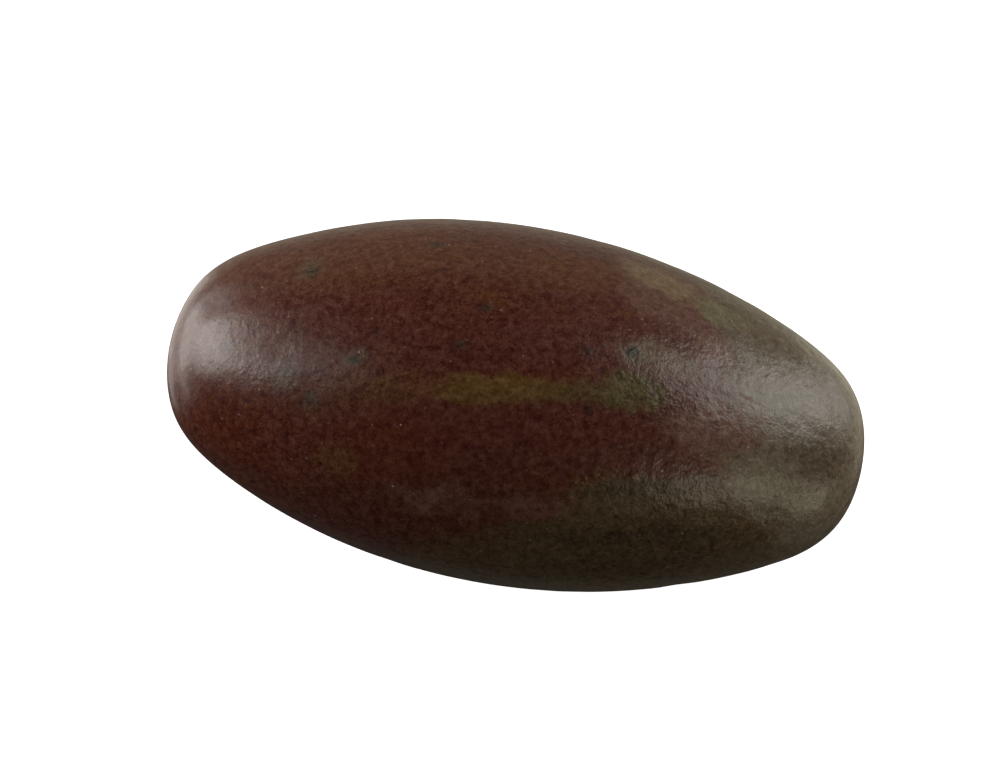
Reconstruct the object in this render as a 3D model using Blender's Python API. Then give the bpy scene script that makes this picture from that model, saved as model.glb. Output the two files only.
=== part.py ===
"""A massage stone: one water-worn, satin-polished pebble of banded jasper.

Frame: metres, +Z up. The origin is the centre of the worn flat that the stone rests on,
+X runs along the stone toward its slimmer, olive-grey end, and +Y is across it.
"""

import math

import bmesh
import bpy

# Driving dimensions of the stone, in metres.
LENGTH = 0.090
WIDTH = 0.0473  # across the girth, at mid-length
THICKNESS = 0.0416  # at mid-length, before the underside was worn flat
WORN_DEPTH = 0.0006  # how much of the thickness the flat underneath takes away
AXIS_HEIGHT = THICKNESS / 2 - WORN_DEPTH  # of the stone's long axis above the flat

# How the outline departs from a plain ellipse, as shares of the half-width.
TAPER = 0.020  # the +X end is slimmer and the -X end fuller by this much
FLANK = 0.027  # how much the sides draw in toward the ends
SHOULDER = 0.36  # how much the very ends are blunted
SHOULDER_POWER = 8  # higher keeps the blunting closer to the tips

# Fineness of the surface.
STATIONS = 52  # steps from tip to tip, closest together at the tips
SIDES = 48  # steps around the girth
RIM_ANGLE = math.radians(10)  # the flat's rim turns by more than this, and nothing else does

# Polished jasper: red-brown, with a soft sheen.
JASPER_COLOUR = (0.055, 0.026, 0.018, 1.0)
JASPER_ROUGHNESS = 0.38
JASPER_IOR = 1.54


def clear_scene() -> None:
    """Remove whatever objects the scene already holds."""
    for item in list(bpy.data.objects):
        bpy.data.objects.remove(item, do_unlink=True)


def fullness(station: float) -> float:
    """Give the girth at a station, from -1 at the -X tip to 1, as a share of the girth at 0."""
    ellipse = math.sqrt(max(0.0, 1.0 - station * station))
    blunting = SHOULDER * station**SHOULDER_POWER
    return ellipse * (1.0 - TAPER * station - FLANK * station**2 + blunting)


def ring_of_vertices(mesh: bmesh.types.BMesh, station: float) -> list:
    """Add one oval ring across the stone and return its vertices in order."""
    girth = fullness(station)
    ring = []
    for side in range(SIDES):
        turn = 2 * math.pi * side / SIDES
        across = WIDTH / 2 * girth * math.cos(turn)
        up = THICKNESS / 2 * girth * math.sin(turn)
        ring.append(mesh.verts.new((LENGTH / 2 * station, across, AXIS_HEIGHT + up)))
    return ring


def close_tip(mesh: bmesh.types.BMesh, ring: list, end: int) -> None:
    """Close an end of the stone with a fan of triangles from its tip to the last ring."""
    tip = mesh.verts.new((end * LENGTH / 2, 0.0, AXIS_HEIGHT))
    for first, second in zip(ring, ring[1:] + ring[:1]):
        mesh.faces.new((tip, first, second))


def loft_body(mesh: bmesh.types.BMesh) -> None:
    """Skin the whole pebble, before wear, from one tip to the other."""
    stations = [-math.cos(math.pi * step / STATIONS) for step in range(1, STATIONS)]
    rings = [ring_of_vertices(mesh, station) for station in stations]
    for near, far in zip(rings, rings[1:]):
        for side in range(SIDES):
            after = (side + 1) % SIDES
            mesh.faces.new((near[side], near[after], far[after], far[side]))
    close_tip(mesh, rings[0], -1)
    close_tip(mesh, rings[-1], 1)


def wear_underside(mesh: bmesh.types.BMesh) -> None:
    """Cut the underside off level at Z = 0 and close it with one flat face."""
    everything = mesh.verts[:] + mesh.edges[:] + mesh.faces[:]
    cut = bmesh.ops.bisect_plane(
        mesh,
        geom=everything,
        dist=1e-7,
        plane_co=(0.0, 0.0, 0.0),
        plane_no=(0.0, 0.0, -1.0),
        clear_outer=True,
    )
    rim = [part for part in cut["geom_cut"] if isinstance(part, bmesh.types.BMEdge)]
    bmesh.ops.edgeloop_fill(mesh, edges=rim)


def jasper() -> bpy.types.Material:
    """Make the stone's own finish: polished red-brown jasper."""
    material = bpy.data.materials.new("polished_jasper")
    material.use_nodes = True
    surface = material.node_tree.nodes["Principled BSDF"]
    surface.inputs["Base Color"].default_value = JASPER_COLOUR
    surface.inputs["Roughness"].default_value = JASPER_ROUGHNESS
    surface.inputs["IOR"].default_value = JASPER_IOR
    surface.inputs["Metallic"].default_value = 0.0
    return material


def make_stone() -> bpy.types.Object:
    """Build the stone as one closed body resting on its worn flat."""
    mesh = bmesh.new()
    loft_body(mesh)
    wear_underside(mesh)
    bmesh.ops.recalc_face_normals(mesh, faces=mesh.faces[:])
    data = bpy.data.meshes.new("stone")
    mesh.to_mesh(data)
    mesh.free()
    data.shade_smooth()
    data.set_sharp_from_angle(angle=RIM_ANGLE)
    data.materials.append(jasper())
    stone = bpy.data.objects.new("stone", data)
    bpy.context.scene.collection.objects.link(stone)
    return stone


clear_scene()
make_stone()
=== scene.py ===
"""The looks of a massage stone: one polished jasper pebble on a pale studio floor.

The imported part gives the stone's place and size. This script lays a finer pebble over it,
with the shallow hollows of a water-worn surface, and dresses it in banded jasper.
"""

import logging
import math
from dataclasses import dataclass, field
from enum import Enum

import bpy
import numpy as np
from mathutils import Euler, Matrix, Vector, noise


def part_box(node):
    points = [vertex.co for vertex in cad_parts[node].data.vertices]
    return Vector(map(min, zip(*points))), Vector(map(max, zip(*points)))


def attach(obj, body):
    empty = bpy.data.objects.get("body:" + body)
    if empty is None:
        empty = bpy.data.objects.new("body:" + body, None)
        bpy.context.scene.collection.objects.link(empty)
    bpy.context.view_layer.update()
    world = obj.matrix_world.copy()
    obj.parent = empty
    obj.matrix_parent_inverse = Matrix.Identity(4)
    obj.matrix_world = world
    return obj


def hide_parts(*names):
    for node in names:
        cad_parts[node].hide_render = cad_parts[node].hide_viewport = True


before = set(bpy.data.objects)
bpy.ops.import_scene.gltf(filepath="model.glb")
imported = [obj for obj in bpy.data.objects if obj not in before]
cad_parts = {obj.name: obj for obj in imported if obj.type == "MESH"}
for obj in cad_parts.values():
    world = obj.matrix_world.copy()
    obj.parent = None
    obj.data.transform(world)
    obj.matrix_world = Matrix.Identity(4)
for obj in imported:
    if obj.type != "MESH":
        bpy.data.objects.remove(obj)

logging.basicConfig(level=logging.INFO, format="%(message)s")
log = logging.getLogger("massage_stone")

MM = 0.001  # one millimetre, in the scene's metres
LAMP_WHITE = "#FFFDF8"  # straight from the studio's lamps
BOUNCE_WHITE = "#FFF8DC"  # what comes back from the room and the far floor is warmer
BEDDING_TURN = math.radians(11.4)  # the rock's layers run this far round from the stone's length
CAMERA_AZIMUTH = 270.0  # degrees round from the camera's own right-hand side
NOISE_LOW, NOISE_HIGH = 0.35, 0.65  # most of a noise's values lie between these


def linear(colour: str) -> tuple[float, float, float, float]:
    """Turn an sRGB hex colour into linear light.

    Args:
        colour: the colour as "#RRGGBB".

    Returns:
        Red, green, blue and an alpha of 1.
    """
    shares = [int(colour[at : at + 2], 16) / 255 for at in (1, 3, 5)]
    red, green, blue = (
        share / 12.92 if share <= 0.04045 else ((share + 0.055) / 1.055) ** 2.4
        for share in shares
    )
    return red, green, blue, 1.0


def add_node(
    tree: bpy.types.NodeTree,
    kind: str,
    settings: dict[str | int, object],
    links: dict[str | int, bpy.types.NodeSocket],
) -> bpy.types.Node:
    """Add one node to a tree.

    Args:
        tree: the tree that takes the node.
        kind: the node's type name.
        settings: values by attribute name, or by the name or number of an input.
        links: sockets that feed the node, by the name or number of an input.

    Returns:
        The new node.
    """
    node = tree.nodes.new(kind)
    for key, value in settings.items():
        if isinstance(key, str) and hasattr(node, key):
            setattr(node, key, value)
        else:
            node.inputs[key].default_value = value
    for key, socket in links.items():
        tree.links.new(socket, node.inputs[key])
    return node


class Mineral(Enum):
    """The colours that the rock's minerals have where they reach the polished surface."""

    MAROON = "#582C21"  # jasper stained by fine haematite, the body of the stone
    PLUM = "#5C2F25"  # the same, at its purest
    RUST = "#603519"  # haematite turning to limonite
    BRICK = "#5B270C"  # the deepest red, most of it at the full end
    BLUSH = "#735346"  # red jasper thinned with milky chalcedony
    MAUVE = "#6A463B"  # the same, with less of the chalcedony
    OCHRE = "#674A25"  # limonite streaks
    UMBER = "#5F3A1C"  # limonite that the red still shows through
    MOSS = "#5A4F2C"  # chlorite beside the ochre
    LICHEN_AND_HIGHLIGHT = "#71674C"  # chlorite in the pale end, and also painted highlight: the pale patches in the glow low on the +X end
    OLIVE = "#5B4931"  # where the pale end meets the red
    OLIVE_GREY = "#706454"  # the pale end
    GREY = "#6D5842"  # the lobe that the pale end sends into the red
    CREAM = "#80674E"  # nearly clear chalcedony
    DRAB = "#4A3B2A"  # thin dark layers in the pale end
    SLATE = "#37312A"  # small dark inclusions
    SAGE = "#5E5143"  # the pale rims of the inclusions
    GRAIN_AND_GLINT_GREY = "#433F3B"  # what the fine grains lean toward: partly pale grains, partly painted glints of the polish
    IRON_BLACK = "#16100D"  # the darkest that a grain gets
    QUARTZ = "#B3A493"  # pale specks


@dataclass(frozen=True)
class Lens:
    """One body of a mineral inside the rock: an ellipsoid whose edge is frayed.

    Places and reaches are in millimetres, in the layers' own frame: the stone's frame
    turned by BEDDING_TURN about Z.
    """

    name: str
    mineral: Mineral
    centre: tuple[float, float, float]
    reach: tuple[float, float, float]
    turn: float = 0.0  # degrees about Z, away from the layers
    edge: float = 0.3  # half the width of its fading rim, as a share of the reach
    amount: float = 1.0  # how fully it covers what it lies over


# The broad bodies come first, and each later lens lies over the ones before it.
# Each has its name, mineral, centre, reach, turn, edge and amount, in that order.
LENSES = (
    Lens("rust_crown", Mineral.RUST, (-18, 10.5, 36.5), (17, 5.5, 7), 0, 0.5, 0.7),
    Lens("rust_shoulder", Mineral.RUST, (7.5, 8.5, 38.6), (7, 3.6, 5), 0, 0.5, 0.9),
    Lens("plum_band", Mineral.PLUM, (-18, 2, 38), (13, 4, 5), -6, 0.5, 0.7),
    Lens("mauve_heart", Mineral.MAUVE, (5, 1, 40.6), (5, 4, 4), 0, 0.6, 0.15),
    Lens("brick_end", Mineral.BRICK, (-36, 2, 30), (8, 12, 12), 0, 0.5, 0.8),
    Lens("brick_foot", Mineral.BRICK, (-31, -8, 28.5), (10, 4.5, 5), -10, 0.5, 0.8),
    Lens("plum_foot", Mineral.PLUM, (-22, -13, 29), (11, 3, 4), -18, 0.5, 0.8),
    Lens("brick_belly", Mineral.BRICK, (-16, -13, 33), (9, 4, 6), 0, 0.6, 0.5),
    Lens("umber_wisp", Mineral.UMBER, (-21, -7.6, 35.8), (5.5, 2.2, 3), 0, 0.6, 0.4),
    Lens("olive_end", Mineral.OLIVE_GREY, (50, -2, 20), (27.5, 44, 40), 0, 0.14),
    Lens("olive_shoulder", Mineral.OLIVE, (31, 4, 34), (7, 5, 5), -25, 0.5, 0.6),
    Lens("olive_back", Mineral.OLIVE, (29, 17, 27), (13, 9, 12), 0, 0.3),
    Lens("olive_foot", Mineral.OLIVE, (15.5, -24, 19), (18.5, 10, 18), 0, 0.14),
    Lens("olive_keel", Mineral.OLIVE, (-1, -24.5, 19), (14, 6, 10), 0, 0.3, 0.75),
    Lens("olive_root", Mineral.OLIVE, (11.8, -21.3, 30.8), (5.5, 2.4, 3.8), 10, 0.35, 0.9),
    Lens("cream_patch", Mineral.CREAM, (18.4, 9, 36.5), (5.6, 2.8, 3.4), -30, 0.5, 0.9),
    Lens("lichen_patch", Mineral.LICHEN_AND_HIGHLIGHT, (25.4, 4.6, 35.5), (3, 2, 2.6), -20, 0.45),
    Lens("red_tongue_high", Mineral.MAUVE, (18.6, 3.6, 38), (7, 2.7, 3.4), -36, 0.35),
    Lens("blush_tip", Mineral.BLUSH, (24.3, -1.6, 37), (3, 2, 2), -30, 0.5, 0.9),
    Lens("grey_lobe", Mineral.GREY, (18, -4.3, 38.9), (5.6, 2.0, 2.4), -14, 0.5, 0.8),
    Lens("red_tongue_low", Mineral.MAROON, (11, -13.6, 37), (14, 4.1, 4), 2, 0.25),
    Lens("blush_tongue", Mineral.BLUSH, (24.6, -12, 35.4), (6.4, 3.2, 3.2), 4, 0.35, 0.95),
    Lens("ochre_streak", Mineral.OCHRE, (-2.2, -8.8, 39.3), (8, 1.9, 2.4), 0, 0.3),
    Lens("ochre_root", Mineral.UMBER, (-13.4, -7.9, 38.2), (5.2, 2.4, 2.6), 0, 0.45, 0.75),
    Lens("ochre_tail", Mineral.MOSS, (8, -9.3, 39.2), (4.5, 1.5, 2), 0, 0.5, 0.6),
    Lens("moss_streak", Mineral.MOSS, (14.4, -8.9, 38.7), (4.4, 2.3, 2.6), 0, 0.35, 0.85),
    Lens("mauve_strand", Mineral.MAUVE, (-8.2, -19.4, 30), (7, 1.5, 1.8), 0, 0.5, 0.65),
    Lens("blush_fleck", Mineral.BLUSH, (-11.5, -18.5, 30.2), (3.2, 1.1, 1.6), 0, 0.6, 0.5),
    Lens("mauve_thread", Mineral.MAUVE, (2.5, -20.4, 31), (4.5, 1.4, 1.8), 0, 0.5),
    Lens("drab_streak", Mineral.DRAB, (18, -22.4, 27.4), (14, 1.3, 1.8), 0, 0.6, 0.9),
    Lens("drab_keel", Mineral.DRAB, (20, -24, 22.5), (14, 3, 4), 0, 0.6, 0.6),
    Lens("drab_flank", Mineral.DRAB, (37.8, -13.2, 29.6), (4.4, 2.6, 3.2), 0, 0.6, 0.65),
    Lens("drab_thread", Mineral.DRAB, (18, -18.4, 33.2), (8, 0.9, 1.2), 8, 0.6, 0.8),
    # The next two are painted highlight: pale patches laid where the glow low on the +X end
    # falls.
    Lens("painted_highlight_foot", Mineral.LICHEN_AND_HIGHLIGHT, (30.8, -16.7, 30), (3.6, 1.6, 2.2), -12, 0.6, 0.6),
    Lens("painted_highlight_fleck", Mineral.LICHEN_AND_HIGHLIGHT, (35.6, -17.6, 26.6), (3.2, 1.6, 2.2), 0, 0.6, 0.45),
    Lens("ochre_fleck", Mineral.OCHRE, (-22, -13.4, 30.8), (4, 1.6, 2), 0, 0.6, 0.5),
)

# Small inclusions, whose places are kept more closely.
INCLUSIONS = (
    Lens("sage_1", Mineral.SAGE, (-19.3, -3.5, 38.2), (1.6, 1.0, 1.2), 0, 0.7, 0.6),
    Lens("sage_2", Mineral.SAGE, (14.6, -4.0, 39.6), (1.5, 1.3, 1.6), 0, 0.7, 0.6),
    Lens("sage_3", Mineral.SAGE, (-25.3, 10.6, 36.3), (1.5, 2.0, 2.0), 0, 0.8, 0.5),
    Lens("sage_4", Mineral.SAGE, (-28.2, -4.0, 34.8), (1.8, 1.5, 1.6), 0, 0.8, 0.6),
    Lens("slate_1", Mineral.SLATE, (-19.6, -3.8, 38.2), (0.8, 0.5, 0.8), 0, 0.5, 0.8),
    Lens("slate_2", Mineral.SLATE, (14.4, -3.8, 39.6), (0.9, 0.7, 1.0), 20, 0.5, 0.9),
    Lens("slate_3", Mineral.SLATE, (-3.3, 1.8, 40.9), (0.9, 0.6, 1.0), 0, 0.7, 0.7),
    Lens("slate_4", Mineral.SLATE, (-6.6, -3.2, 40.5), (0.8, 0.5, 1.0), 0, 0.7, 0.6),
    Lens("slate_5", Mineral.SLATE, (9.1, -4.0, 40.3), (0.7, 0.6, 1.0), 0, 0.7, 0.5),
    Lens("slate_6", Mineral.SLATE, (9.1, -11.2, 38.5), (0.6, 0.5, 1.0), 0, 0.7, 0.6),
    Lens("slate_7", Mineral.SLATE, (-25.2, 9.8, 36.6), (1.1, 0.6, 1.0), 0, 0.9, 0.5),
    Lens("slate_8", Mineral.SLATE, (-9.6, 12.9, 38.0), (1.2, 0.6, 1.0), 0, 0.7, 0.6),
    Lens("slate_9", Mineral.SLATE, (-24.9, -7.5, 34.6), (1.2, 0.9, 1.2), 0, 0.8, 0.6),
    Lens("slate_10", Mineral.SLATE, (-35.8, 1.5, 32.8), (0.7, 0.7, 1.0), 0, 0.7, 0.6),
    Lens("slate_11", Mineral.SLATE, (-16.9, -0.8, 39.3), (0.6, 0.5, 1.0), 0, 0.7, 0.5),
    Lens("fissure_1", Mineral.BRICK, (28.3, -7.8, 35.6), (1.7, 0.25, 0.8), -20, 0.5),
    Lens("fissure_2", Mineral.BRICK, (26.6, -6.6, 36.2), (1.0, 0.2, 0.8), -15, 0.5, 0.8),
    Lens("scratch", Mineral.CREAM, (31.2, -10.4, 34.1), (1.6, 0.12, 0.8), -8, 0.5),
)


@dataclass(frozen=True)
class Jasper:
    """Banded jasper, tumbled and then polished to a satin finish.

    Jasper is microcrystalline quartz. The polish leaves a soft sheen that spreads the
    studio lights into glows, and never mirrors them.
    """

    ior: float = 1.54  # quartz
    roughness: float = 0.30
    roughness_swing: float = 0.06  # from the densest patches to the most open ones
    fray: float = 5.0  # mm, how far the layers' edges wander
    fray_span: float = 4.0  # mm, from one wander to the next
    bed: tuple[float, float, float] = (14.0, 3.6, 3.6)  # mm, the size of the broad drifts
    plum_drift: tuple[float, float] = (0.46, 0.30)  # where in the noise plum starts, and is full
    rust_drift: tuple[float, float] = (0.54, 0.70)  # the same for rust
    thread: tuple[float, float, float] = (7.0, 0.9, 0.9)  # mm, the size of the thin streaks
    thread_contrast: float = 0.5
    # Jasper's own crystals are far too fine to show, so the mottling stands in for them: it
    # starts at the size of the clots that the eye can tell apart, and goes down from there.
    grain: float = 1.9  # mm, a light and a dark clot together; four halvings reach the finest
    grain_contrast: float = 6.0
    grain_and_glint_greyness: float = 0.65  # how far the mottling leaves the colour and turns neutral; partly real pale grains, partly painted glints of the polish
    speck_spacing: float = 1.1  # mm, between the pale quartz specks
    speck_radius: float = 0.17  # mm, to where a speck has faded out; a finer one wouldn't show
    speck_core: float = 0.5  # the share of that radius over which it is whole
    speck_rarity: float = 4.0  # the higher, the fewer of the specks are bright
    sheen_span: float = 2.5  # mm, from one patch of the polish to the next
    relief_span: float = 1.6  # mm, the leathery grain that the glow shows
    relief_depth: float = 0.165  # mm
    worn_end: float = -40.0  # mm along X, where wear has left the least of the relief
    fresh_end: float = 15.0  # mm along X, from where the relief is whole
    worn_relief: float = 0.35  # the share of the relief that is left at the worn end

    def build(self) -> bpy.types.Material:
        """Make the material.

        Returns:
            The finished material.
        """
        material = bpy.data.materials.new("satin_jasper")
        material.use_nodes = True
        tree = material.node_tree
        surface = tree.nodes["Principled BSDF"]
        surface.inputs["IOR"].default_value = self.ior
        surface.inputs["Metallic"].default_value = 0.0

        place = self._place(tree)
        turned = add_node(
            tree,
            "ShaderNodeMapping",
            {"vector_type": "TEXTURE", "Rotation": Euler((0, 0, BEDDING_TURN))},
            {"Vector": place},
        ).outputs["Vector"]
        layers = self._fray(tree, turned, self.fray_span, self.fray)
        colour = self._body(tree, layers)
        for lens in LENSES:
            colour = self._add_lens(tree, layers, colour, lens)
        near = self._fray(tree, turned, self.fray_span / 4, self.fray / 4)
        for lens in INCLUSIONS:
            colour = self._add_lens(tree, near, colour, lens)
        colour = self._mottle(tree, place, layers, colour)
        colour = self._add_specks(tree, place, colour)
        tree.links.new(colour, surface.inputs["Base Color"])
        tree.links.new(self._sheen(tree, place), surface.inputs["Roughness"])
        tree.links.new(self._relief(tree, place), surface.inputs["Normal"])
        return material

    def _place(self, tree: bpy.types.NodeTree) -> bpy.types.NodeSocket:
        """Give the place on the stone in millimetres, so that every scale is a real size.

        Args:
            tree: the material's tree.

        Returns:
            The place.
        """
        where = add_node(tree, "ShaderNodeTexCoord", {}, {})
        scaled = add_node(
            tree,
            "ShaderNodeVectorMath",
            {"operation": "SCALE", "Scale": 1 / MM},
            {0: where.outputs["Object"]},
        )
        return scaled.outputs["Vector"]

    def _fray(
        self, tree: bpy.types.NodeTree, place: bpy.types.NodeSocket, span: float, reach: float
    ) -> bpy.types.NodeSocket:
        """Shift each place at random, most along the layers, so that no edge is clean.

        Args:
            tree: the material's tree.
            place: the place in the layers' frame.
            span: millimetres from one wander to the next; finer ones ride on it.
            reach: millimetres across the layers between the furthest shifts.

        Returns:
            The shifted place.
        """
        wander = add_node(
            tree,
            "ShaderNodeTexNoise",
            {"Scale": 1 / span, "Detail": 5.0, "Roughness": 0.65},
            {"Vector": place},
        )
        shift = add_node(
            tree,
            "ShaderNodeVectorMath",
            {"operation": "SUBTRACT", 1: (0.5, 0.5, 0.5)},
            {0: wander.outputs["Color"]},
        )
        shifted = add_node(
            tree,
            "ShaderNodeVectorMath",
            {"operation": "MULTIPLY_ADD", 1: (2 * reach, reach, reach)},
            {0: shift.outputs["Vector"], 2: place},
        )
        return shifted.outputs["Vector"]

    def _body(
        self, tree: bpy.types.NodeTree, layers: bpy.types.NodeSocket
    ) -> bpy.types.NodeSocket:
        """Drift the body colour between plum, maroon and rust, along the layers.

        Args:
            tree: the material's tree.
            layers: the place in the layers' frame.

        Returns:
            The body colour.
        """
        drift = self._drawn_noise(tree, layers, self.bed, 4.0)
        plum_start, plum_full = self.plum_drift
        plum_share = add_node(
            tree,
            "ShaderNodeMapRange",
            {"From Min": plum_start, "From Max": plum_full},
            {"Value": drift},
        )
        plum = add_node(
            tree,
            "ShaderNodeMix",
            {
                "data_type": "RGBA",
                6: linear(Mineral.MAROON.value),
                7: linear(Mineral.PLUM.value),
            },
            {0: plum_share.outputs["Result"]},
        )
        rust_start, rust_full = self.rust_drift
        rust_share = add_node(
            tree,
            "ShaderNodeMapRange",
            {"From Min": rust_start, "From Max": rust_full},
            {"Value": drift},
        )
        rust = add_node(
            tree,
            "ShaderNodeMix",
            {"data_type": "RGBA", 7: linear(Mineral.RUST.value)},
            {0: rust_share.outputs["Result"], 6: plum.outputs[2]},
        )
        return rust.outputs[2]

    def _drawn_noise(
        self,
        tree: bpy.types.NodeTree,
        layers: bpy.types.NodeSocket,
        size: tuple[float, float, float],
        detail: float,
    ) -> bpy.types.NodeSocket:
        """Make noise that is drawn out along the layers.

        Args:
            tree: the material's tree.
            layers: the place in the layers' frame.
            size: millimetres from one patch to the next, along each axis.
            detail: how many finer octaves ride on the coarsest one.

        Returns:
            The noise's value.
        """
        squeezed = add_node(
            tree,
            "ShaderNodeVectorMath",
            {"operation": "DIVIDE", 1: size},
            {0: layers},
        )
        noise_node = add_node(
            tree,
            "ShaderNodeTexNoise",
            {"Scale": 1.0, "Detail": detail, "Roughness": 0.6},
            {"Vector": squeezed.outputs["Vector"]},
        )
        return noise_node.outputs["Fac"]

    def _add_lens(
        self,
        tree: bpy.types.NodeTree,
        layers: bpy.types.NodeSocket,
        colour: bpy.types.NodeSocket,
        lens: Lens,
    ) -> bpy.types.NodeSocket:
        """Lay one lens of mineral over the colour so far.

        Args:
            tree: the material's tree.
            layers: the place in the layers' frame.
            colour: the colour before the lens.
            lens: the lens.

        Returns:
            The colour with the lens in it.
        """
        inside = add_node(
            tree,
            "ShaderNodeMapping",
            {
                "vector_type": "TEXTURE",
                "Location": lens.centre,
                "Rotation": Euler((0, 0, math.radians(lens.turn))),
                "Scale": lens.reach,
            },
            {"Vector": layers},
        )
        far = add_node(
            tree,
            "ShaderNodeVectorMath",
            {"operation": "LENGTH"},
            {0: inside.outputs["Vector"]},
        )
        share = add_node(
            tree,
            "ShaderNodeMapRange",
            {
                "interpolation_type": "SMOOTHSTEP",
                "From Min": 1 - lens.edge,
                "From Max": 1 + lens.edge,
                "To Min": lens.amount,
                "To Max": 0.0,
            },
            {"Value": far.outputs["Value"]},
        )
        mixed = add_node(
            tree,
            "ShaderNodeMix",
            {"data_type": "RGBA", 7: linear(lens.mineral.value)},
            {0: share.outputs["Result"], 6: colour},
        )
        mixed.label = lens.name
        return mixed.outputs[2]

    def _mottle(
        self,
        tree: bpy.types.NodeTree,
        place: bpy.types.NodeSocket,
        layers: bpy.types.NodeSocket,
        colour: bpy.types.NodeSocket,
    ) -> bpy.types.NodeSocket:
        """Break the colour up into light and dark clots and thin streaks, both partly neutral;
        that neutral part is partly painted glints of the polish.

        Args:
            tree: the material's tree.
            place: the place on the stone.
            layers: the place in the layers' frame.
            colour: the colour before the mottling.

        Returns:
            The mottled colour.
        """
        grains = add_node(
            tree,
            "ShaderNodeTexNoise",
            {"Scale": 2 / self.grain, "Detail": 4.0, "Roughness": 1.0},
            {"Vector": place},
        )
        threads = self._drawn_noise(tree, layers, self.thread, 2.0)
        for value, contrast in (
            (grains.outputs["Fac"], self.grain_contrast),
            (threads, self.thread_contrast),
        ):
            swing = add_node(
                tree,
                "ShaderNodeMapRange",
                {"clamp": False, "To Min": -contrast / 2, "To Max": contrast / 2},
                {"Value": value},
            )
            # The lean toward grey is partly painted sheen: it stands in for the polish's glints.
            tint = add_node(
                tree,
                "ShaderNodeMix",
                {
                    "data_type": "RGBA",
                    0: self.grain_and_glint_greyness,
                    7: linear(Mineral.GRAIN_AND_GLINT_GREY.value),
                },
                {6: colour},
            )
            colour = add_node(
                tree,
                "ShaderNodeVectorMath",
                {"operation": "MULTIPLY_ADD"},
                {0: tint.outputs[2], 1: swing.outputs["Result"], 2: colour},
            ).outputs["Vector"]
        held = add_node(
            tree,
            "ShaderNodeVectorMath",
            {"operation": "MAXIMUM", 1: linear(Mineral.IRON_BLACK.value)[:3]},
            {0: colour},
        )
        return held.outputs["Vector"]

    def _add_specks(
        self,
        tree: bpy.types.NodeTree,
        place: bpy.types.NodeSocket,
        colour: bpy.types.NodeSocket,
    ) -> bpy.types.NodeSocket:
        """Scatter tiny pale quartz grains, few of them bright.

        Args:
            tree: the material's tree.
            place: the place on the stone.
            colour: the colour before the specks.

        Returns:
            The colour with the specks in it.
        """
        cells = add_node(
            tree,
            "ShaderNodeTexVoronoi",
            {"Scale": 1 / self.speck_spacing},
            {"Vector": place},
        )
        speck = add_node(
            tree,
            "ShaderNodeMapRange",
            {
                "From Min": self.speck_core * self.speck_radius / self.speck_spacing,
                "From Max": self.speck_radius / self.speck_spacing,
                "To Min": 1.0,
                "To Max": 0.0,
            },
            {"Value": cells.outputs["Distance"]},
        )
        bright = add_node(
            tree,
            "ShaderNodeMath",
            {"operation": "POWER", 1: self.speck_rarity},
            {0: cells.outputs["Color"]},
        )
        share = add_node(
            tree,
            "ShaderNodeMath",
            {"operation": "MULTIPLY"},
            {0: speck.outputs["Result"], 1: bright.outputs["Value"]},
        )
        mixed = add_node(
            tree,
            "ShaderNodeMix",
            {"data_type": "RGBA", 7: linear(Mineral.QUARTZ.value)},
            {0: share.outputs["Value"], 6: colour},
        )
        return mixed.outputs[2]

    def _sheen(
        self, tree: bpy.types.NodeTree, place: bpy.types.NodeSocket
    ) -> bpy.types.NodeSocket:
        """Let the polish come and go a little from patch to patch.

        Args:
            tree: the material's tree.
            place: the place on the stone.

        Returns:
            The roughness.
        """
        patches = add_node(
            tree,
            "ShaderNodeTexNoise",
            {"Scale": 1 / self.sheen_span, "Detail": 4.0, "Roughness": 0.7},
            {"Vector": place},
        )
        half = self.roughness_swing / 2
        rough = add_node(
            tree,
            "ShaderNodeMapRange",
            {
                "From Min": NOISE_LOW,
                "From Max": NOISE_HIGH,
                "To Min": self.roughness - half,
                "To Max": self.roughness + half,
            },
            {"Value": patches.outputs["Fac"]},
        )
        return rough.outputs["Result"]

    def _relief(
        self, tree: bpy.types.NodeTree, place: bpy.types.NodeSocket
    ) -> bpy.types.NodeSocket:
        """Give the surface its leathery grain, too fine for the mesh, worn smoother at -X.

        Args:
            tree: the material's tree.
            place: the place on the stone.

        Returns:
            The bumped normal.
        """
        ripple = add_node(
            tree,
            "ShaderNodeTexNoise",
            {"Scale": 1 / self.relief_span, "Detail": 3.0, "Roughness": 0.65},
            {"Vector": place},
        )
        along = add_node(tree, "ShaderNodeSeparateXYZ", {}, {0: place})
        worn = add_node(
            tree,
            "ShaderNodeMapRange",
            {
                "From Min": self.worn_end,
                "From Max": self.fresh_end,
                "To Min": self.worn_relief,
                "To Max": 1.0,
            },
            {"Value": along.outputs["X"]},
        )
        bump = add_node(
            tree,
            "ShaderNodeBump",
            {"Distance": self.relief_depth * MM},
            {"Height": ripple.outputs["Fac"], "Strength": worn.outputs["Result"]},
        )
        return bump.outputs["Normal"]


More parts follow.
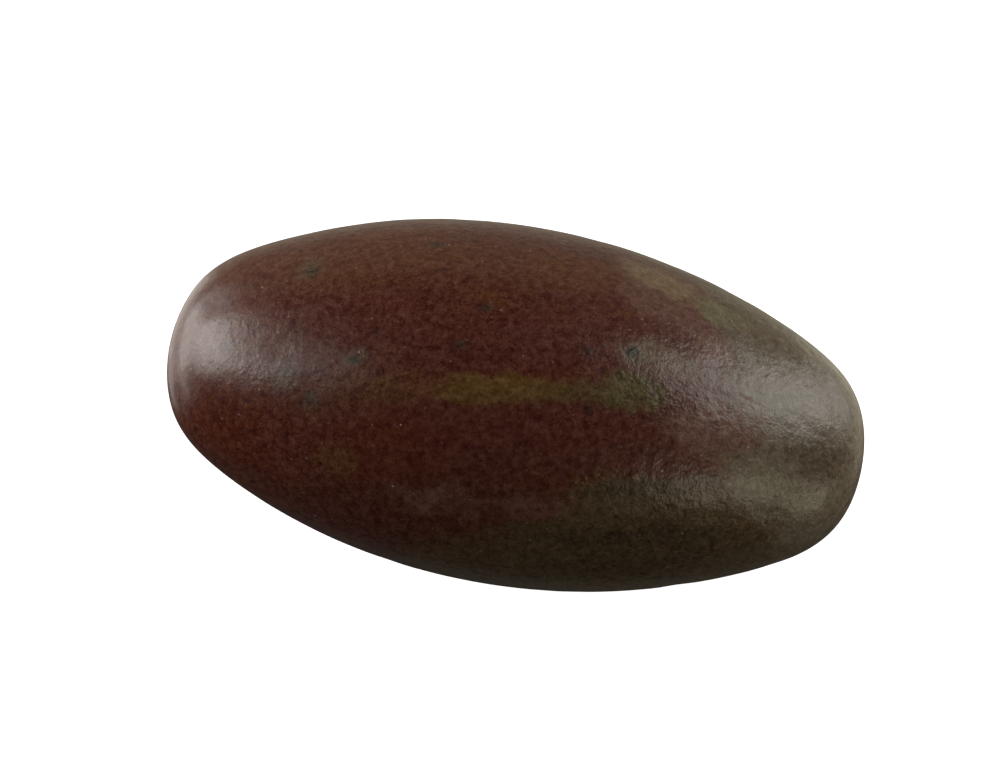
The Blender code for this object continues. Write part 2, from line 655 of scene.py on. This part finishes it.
@dataclass
class Pebble:
    """The stone's form: an oval pebble with blunt tips, worn level underneath."""

    low: Vector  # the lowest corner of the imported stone's box
    high: Vector  # and its highest
    worn_depth: float = 0.6 * MM  # what the flat underneath took off the thickness
    taper: float = 0.020  # the +X end is slimmer and the -X end fuller by this share
    flank: float = 0.027  # the share by which the sides draw in toward the ends
    shoulder: float = 0.36  # the share by which the very ends are blunted
    shoulder_power: int = 8  # higher keeps the blunting closer to the tips
    cells: tuple[int, int, int] = (196, 98, 98)  # mesh cells along X, Y and Z
    rim_softness: float = 0.15 * MM  # how gently the flat meets the round
    swell_span: float = 15 * MM  # from one broad swell of the surface to the next
    swell_height: float = 0.07 * MM
    ripple_span: float = 5 * MM
    ripple_height: float = 0.02 * MM
    dents: int = 300
    dent_radii: tuple[float, float] = (0.7, 1.8)  # mm, of the smallest and the largest dent
    dent_depths: tuple[float, float] = (0.01, 0.05)  # shares of the dent's radius
    dent_crowding: float = 3.0  # dents that the +X end has besides, for each one at the -X end
    crowding_from: float = 15 * MM  # along X, the middle of the change from few dents to many
    crowding_ramp: float = 6 * MM  # how gradual that change is
    seed: int = 7
    finish: Jasper = field(default_factory=Jasper)

    @property
    def half(self) -> np.ndarray:
        """Half the length, width and thickness, before the underside was worn flat."""
        half = np.array(self.high - self.low) / 2
        half[2] += self.worn_depth / 2
        return half

    @property
    def centre(self) -> np.ndarray:
        """The middle of the stone, before the underside was worn flat."""
        centre = np.array(self.low + self.high) / 2
        centre[2] = self.high.z - self.half[2]
        return centre

    def make(self) -> bpy.types.Object:
        """Build the pebble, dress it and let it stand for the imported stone.

        Returns:
            The finished piece.
        """
        places, quads = self._shell()
        mesh = bpy.data.meshes.new("pebble")
        mesh.from_pydata(places.tolist(), [], quads.tolist())
        mesh.shade_smooth()
        mesh.materials.append(self.finish.build())
        piece = bpy.data.objects.new("pebble", mesh)
        bpy.context.scene.collection.objects.link(piece)
        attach(piece, "root")
        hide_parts("stone")
        return piece

    def _lattice(self) -> tuple[np.ndarray, np.ndarray]:
        """Net a ball with a grid that has no poles: the skin of a block of cells.

        Returns:
            The directions of the ball's points, and the quads between them.
        """
        sizes = np.array(self.cells)
        corners, quads = [], []
        for axis in range(3):
            first, second = (axis + 1) % 3, (axis + 2) % 3
            rows, columns = np.meshgrid(
                np.arange(sizes[first] + 1), np.arange(sizes[second] + 1), indexing="ij"
            )
            for side in (0, 1):
                face = np.zeros(rows.shape + (3,), int)
                face[..., axis] = side * sizes[axis]
                face[..., first], face[..., second] = rows, columns
                start = sum(len(done) for done in corners)
                number = np.arange(rows.size).reshape(rows.shape) + start
                quad = np.stack(
                    [number[:-1, :-1], number[1:, :-1], number[1:, 1:], number[:-1, 1:]], -1
                ).reshape(-1, 4)
                corners.append(face.reshape(-1, 3))
                quads.append(quad if side else quad[:, ::-1])
        unique, places = np.unique(np.concatenate(corners), axis=0, return_inverse=True)
        # Spacing the cells by equal angles keeps the quads much the same size all over.
        block = np.tan(math.pi / 4 * (2 * unique / sizes - 1))
        ball = block / np.linalg.norm(block, axis=1, keepdims=True)
        return ball, places.reshape(-1)[np.concatenate(quads)]

    def _shell(self) -> tuple[np.ndarray, np.ndarray]:
        """Shape the pebble's skin.

        Returns:
            The places of its points in metres, and its quads.
        """
        ball, quads = self._lattice()
        station = ball[:, 0]  # from -1 at the -X tip to 1
        fullness = 1 - self.taper * station - self.flank * station**2
        fullness += self.shoulder * station**self.shoulder_power
        places = ball * self.half
        places[:, 1:] *= fullness[:, None]
        outward = ball / self.half
        outward /= np.linalg.norm(outward, axis=1, keepdims=True)
        places += outward * (self._swells(places) - self._hollows(places))[:, None]
        places += self.centre
        # What reaches below the flat is laid level with it, and the rim is eased.
        above = places[:, 2] - self.low.z
        places[:, 2] = self.low.z + (above + np.sqrt(above**2 + self.rim_softness**2)) / 2
        return places, quads

    def _swells(self, places: np.ndarray) -> np.ndarray:
        """Raise the broad swells of the surface, and the ripples on them.

        Args:
            places: places on the smooth stone, in metres from its centre.

        Returns:
            The height at each place.
        """
        heights = np.zeros(len(places))
        for span, height in (
            (self.swell_span, self.swell_height),
            (self.ripple_span, self.ripple_height),
        ):
            steps = places / span
            heights += height * np.array([noise.noise(Vector(step)) for step in steps])
        return heights

    def _hollows(self, places: np.ndarray) -> np.ndarray:
        """Press in the shallow dents that tumbling leaves, most of them toward the +X end.

        Args:
            places: places on the smooth stone, in metres from its centre.

        Returns:
            The depth at each place.
        """
        random = np.random.default_rng(self.seed)
        crowded = 1 / (1 + np.exp(-(places[:, 0] - self.crowding_from) / self.crowding_ramp))
        weights = 1 + self.dent_crowding * crowded
        chosen = random.choice(len(places), self.dents, replace=False, p=weights / weights.sum())
        depths = np.zeros(len(places))
        for centre in places[chosen]:
            radius = random.uniform(*self.dent_radii) * MM
            depth = random.uniform(*self.dent_depths) * radius
            away = np.linalg.norm(places - centre, axis=1) / radius
            depths += depth * np.exp(-(away**2))
        return depths


@dataclass(frozen=True)
class Softbox:
    """One studio light: a rectangle of even glow that faces the stone."""

    name: str
    azimuth: float  # degrees round from the camera's right-hand side
    elevation: float  # degrees above the floor
    width: float  # metres
    height: float  # metres
    power: float  # watts
    white: str = LAMP_WHITE
    distance: float = 0.5  # metres from the stone


# Each has its name, azimuth, elevation, width, height, power and white, in that order.
SOFTBOXES = (
    # A broad light on the left, brightest at its middle.
    Softbox("left_back", 138, 8, 0.14, 0.22, 0.12),
    Softbox("left_low", 155, -4, 0.28, 0.19, 0.65),
    Softbox("left_middle", 166, 20, 0.28, 0.21, 1.22),
    Softbox("left_high", 181, 42, 0.11, 0.24, 0.105),
    # A tall light on the right, fainter, and faintest at its foot.
    Softbox("right_low", 31, -4, 0.28, 0.16, 0.24),
    Softbox("right_middle", 26, 22, 0.28, 0.22, 0.58),
    Softbox("right_high", 18, 46, 0.26, 0.24, 0.58),
    # What the room gives back, from the camera's side and from behind the stone.
    Softbox("front_low", 325, -2, 0.22, 0.18, 0.215, BOUNCE_WHITE),
    Softbox("front_high", 306, 24, 0.17, 0.20, 0.235, BOUNCE_WHITE),
    Softbox("back_low", 92, 0, 0.90, 0.16, 0.12, BOUNCE_WHITE),
    Softbox("back_high", 92, 22, 0.80, 0.20, 0.132, BOUNCE_WHITE),
    # What the lit floor throws up, nearly all of it at the stone's far side.
    Softbox("floor_left", 174, -14, 0.16, 0.16, 0.13),
    Softbox("floor_far_left", 142, -32, 0.34, 0.26, 0.28),
    Softbox("floor_far_right", 38, -32, 0.34, 0.26, 0.135, BOUNCE_WHITE),
    Softbox("floor_far", 90, -35, 0.80, 0.40, 0.346, BOUNCE_WHITE),
    Softbox("floor_near_right", 315, -42, 0.24, 0.24, 0.014, BOUNCE_WHITE),
    Softbox("floor_near", 270, -80, 0.40, 0.30, 0.014, BOUNCE_WHITE),
)


@dataclass(frozen=True)
class MattEmulsion:
    """White emulsion paint, rolled on board.

    It scatters light evenly and has no gloss. Under a studio's even light it comes out as
    white as the lamps, and the glow stands for that.
    """

    paint: str = "#F4F4F2"
    roughness: float = 0.9
    glow: float = 1.0

    def build(self) -> bpy.types.Material:
        """Make the material.

        Returns:
            The finished material.
        """
        material = bpy.data.materials.new("matt_emulsion")
        material.use_nodes = True
        surface = material.node_tree.nodes["Principled BSDF"]
        surface.inputs["Base Color"].default_value = linear(self.paint)
        surface.inputs["Roughness"].default_value = self.roughness
        surface.inputs["Specular IOR Level"].default_value = 0.0
        surface.inputs["Emission Color"].default_value = linear("#FFFFFF")
        surface.inputs["Emission Strength"].default_value = self.glow
        return material


@dataclass
class Studio:
    """The pale floor and backdrop, the soft lights and the camera."""

    centre: Vector  # the middle of the stone
    view_azimuth: float = 11.4  # degrees that the camera stands round toward +X
    view_elevation: float = 60.0
    view_distance: float = 0.3558  # metres
    view_pan: tuple[float, float] = (-0.0017, 0.0022)  # so the stone is right of and below middle
    lens: float = 100.0  # mm
    nearest: float = 0.01  # metres, the closest that the camera sees
    softboxes: tuple[Softbox, ...] = SOFTBOXES
    room_glow: float = 0.028  # the strength of what comes from everywhere
    floor_radius: float = 2.0  # metres, like all of the room's sizes
    floor_sides: int = 96
    sweep_radius: float = 1.0  # of the curve from the floor up into the backdrop
    sweep_steps: int = 12
    wall_height: float = 3.0
    ceiling_height: float = 4.0  # at the middle of the room
    finish: MattEmulsion = field(default_factory=MattEmulsion)

    def build(self) -> None:
        """Make the floor, the backdrop, the lights and the camera."""
        self._floor()
        for softbox in self.softboxes:
            self._light(softbox)
        self._air()
        self._camera()
        bpy.context.scene.view_settings.view_transform = "Standard"

    def _toward(self, azimuth: float, elevation: float) -> Vector:
        """Give a direction from the stone.

        Args:
            azimuth: degrees round from the camera's right-hand side.
            elevation: degrees above the floor.

        Returns:
            The direction, as a vector of length 1.
        """
        turn, rise = math.radians(azimuth + self.view_azimuth), math.radians(elevation)
        return Vector(
            (math.cos(turn) * math.cos(rise), math.sin(turn) * math.cos(rise), math.sin(rise))
        )

    def _floor(self) -> None:
        """Make a round pale floor whose rim sweeps up into a backdrop and a ceiling."""
        profile = [(0.0, 0.0), (self.floor_radius, 0.0)]
        for step in range(1, self.sweep_steps + 1):
            turn = math.pi / 2 * step / self.sweep_steps
            out, up = math.sin(turn), 1 - math.cos(turn)
            profile.append((self.floor_radius + self.sweep_radius * out, self.sweep_radius * up))
        profile += [(profile[-1][0], self.wall_height), (0.0, self.ceiling_height)]
        points, faces = [], []
        for radius, height in profile:
            for side in range(self.floor_sides):
                turn = 2 * math.pi * side / self.floor_sides
                points.append((radius * math.cos(turn), radius * math.sin(turn), height))
        for ring in range(len(profile) - 1):
            inner, outer = ring * self.floor_sides, (ring + 1) * self.floor_sides
            for side in range(self.floor_sides):
                after = (side + 1) % self.floor_sides
                faces.append((inner + side, inner + after, outer + after, outer + side))
        mesh = bpy.data.meshes.new("floor")
        mesh.from_pydata(points, [], faces)
        mesh.validate()
        mesh.shade_smooth()
        mesh.materials.append(self.finish.build())
        floor = bpy.data.objects.new("floor", mesh)
        bpy.context.scene.collection.objects.link(floor)
        floor.visible_diffuse = False
        floor.visible_glossy = False
        floor.visible_shadow = False

    def _light(self, softbox: Softbox) -> None:
        """Hang one softbox, facing the stone.

        Args:
            softbox: the softbox.
        """
        toward = self._toward(softbox.azimuth, softbox.elevation)
        lamp = bpy.data.lights.new(softbox.name, "AREA")
        lamp.shape = "RECTANGLE"
        lamp.size = softbox.width
        lamp.size_y = softbox.height
        lamp.energy = softbox.power
        lamp.color = linear(softbox.white)[:3]
        light = bpy.data.objects.new(softbox.name, lamp)
        light.location = self.centre + toward * softbox.distance
        light.rotation_euler = (-toward).to_track_quat("-Z", "Y").to_euler()
        light.visible_camera = False
        bpy.context.scene.collection.objects.link(light)

    def _air(self) -> None:
        """Light the room very faintly from everywhere."""
        world = bpy.data.worlds.new("room")
        world.use_nodes = True
        background = world.node_tree.nodes["Background"]
        background.inputs["Color"].default_value = linear("#FFFFFF")
        background.inputs["Strength"].default_value = self.room_glow
        bpy.context.scene.world = world

    def _camera(self) -> None:
        """Set the camera above the stone, a little round toward its slim end."""
        back = self._toward(CAMERA_AZIMUTH, self.view_elevation)
        right = self._toward(0, 0)
        up = back.cross(right)
        along_right, along_up = self.view_pan
        view = bpy.data.cameras.new("camera")
        view.lens = self.lens
        view.clip_start = self.nearest
        camera = bpy.data.objects.new("camera", view)
        camera.location = self.centre + back * self.view_distance
        camera.location += right * along_right + up * along_up
        camera.rotation_euler = (-back).to_track_quat("-Z", "Y").to_euler()
        bpy.context.scene.collection.objects.link(camera)
        bpy.context.scene.camera = camera


def main() -> None:
    """Build the stone and the studio, in order."""
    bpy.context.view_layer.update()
    pebble = Pebble(*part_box("stone"))
    piece = pebble.make()
    log.info("%s: %d faces", piece.name, len(piece.data.polygons))
    studio = Studio(Vector(pebble.centre))
    studio.build()
    log.info("studio: %d softboxes", len(studio.softboxes))


if __name__ == "__main__":
    main()
